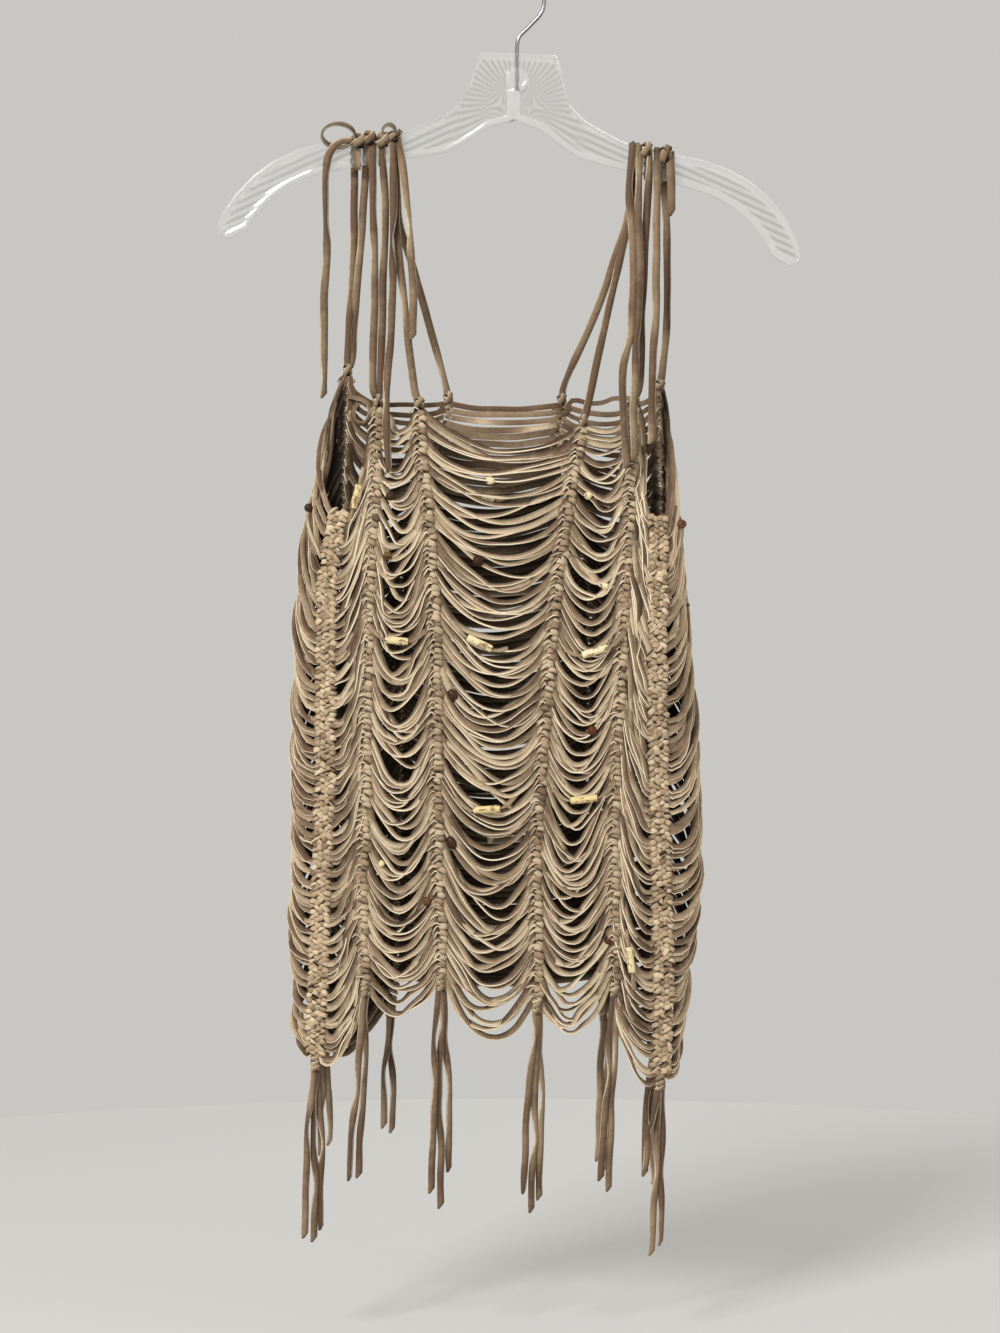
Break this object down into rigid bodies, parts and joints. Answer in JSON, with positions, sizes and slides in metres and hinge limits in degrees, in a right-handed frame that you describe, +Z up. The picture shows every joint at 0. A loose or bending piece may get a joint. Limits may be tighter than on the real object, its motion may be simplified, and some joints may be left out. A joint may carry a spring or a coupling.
{
  "type": "fringed leather tank top on a clothes hanger",
  "caption": "Sleeveless top knotted from flat suede laces, with swagged rows between knotted columns, tied shoulders, tails at the hem and bone beads, hung on a clear plastic hanger.",
  "frame": {"origin": "the underside of the hanger hook's arch, where a rail carries it", "axes": "+Z up, the garment's front faces -Y, +X to the right as the front is seen"},
  "size_m": [0.4325, 0.0682, 0.9718],
  "materials": {
    "suede": "matte napped suede lace with paler cut edges",
    "braid": "the same suede, paler, plaited flat",
    "bone": "polished bone with darker streaks",
    "wood": "polished dark wood beads",
    "clear_plastic": "clear moulded polystyrene with cut-glass facets",
    "steel": "bright plated wire"
  },
  "bodies": {
    "root": {"front_net": "suede", "back_net": "suede", "seam_left": "braid", "seam_right": "braid", "strap_back_1": "suede", "strap_front_1": "suede", "strap_front_2": "suede", "strap_back_2": "suede", "strap_back_3": "suede", "strap_front_3": "suede", "strap_front_4": "suede", "strap_back_4": "suede", "shoulder_tie_left": "suede", "shoulder_tie_right": "suede", "tail_seam_left": "suede", "tail_front_1": "suede", "tail_front_2": "suede", "tail_front_3": "suede", "tail_front_4": "suede", "tail_seam_right": "suede", "tail_back_4": "suede", "tail_back_3": "suede", "tail_back_2": "suede", "tail_back_1": "suede", "bone_tube_1": "bone", "bone_tube_2": "bone", "bone_tube_3": "bone", "bone_tube_4": "bone", "bone_tube_5": "bone", "bone_tube_6": "bone", "bone_tube_7": "bone", "bone_tube_8": "bone", "hanger_body": "clear_plastic", "hanger_hook": "steel"}
  },
  "joints": []
}
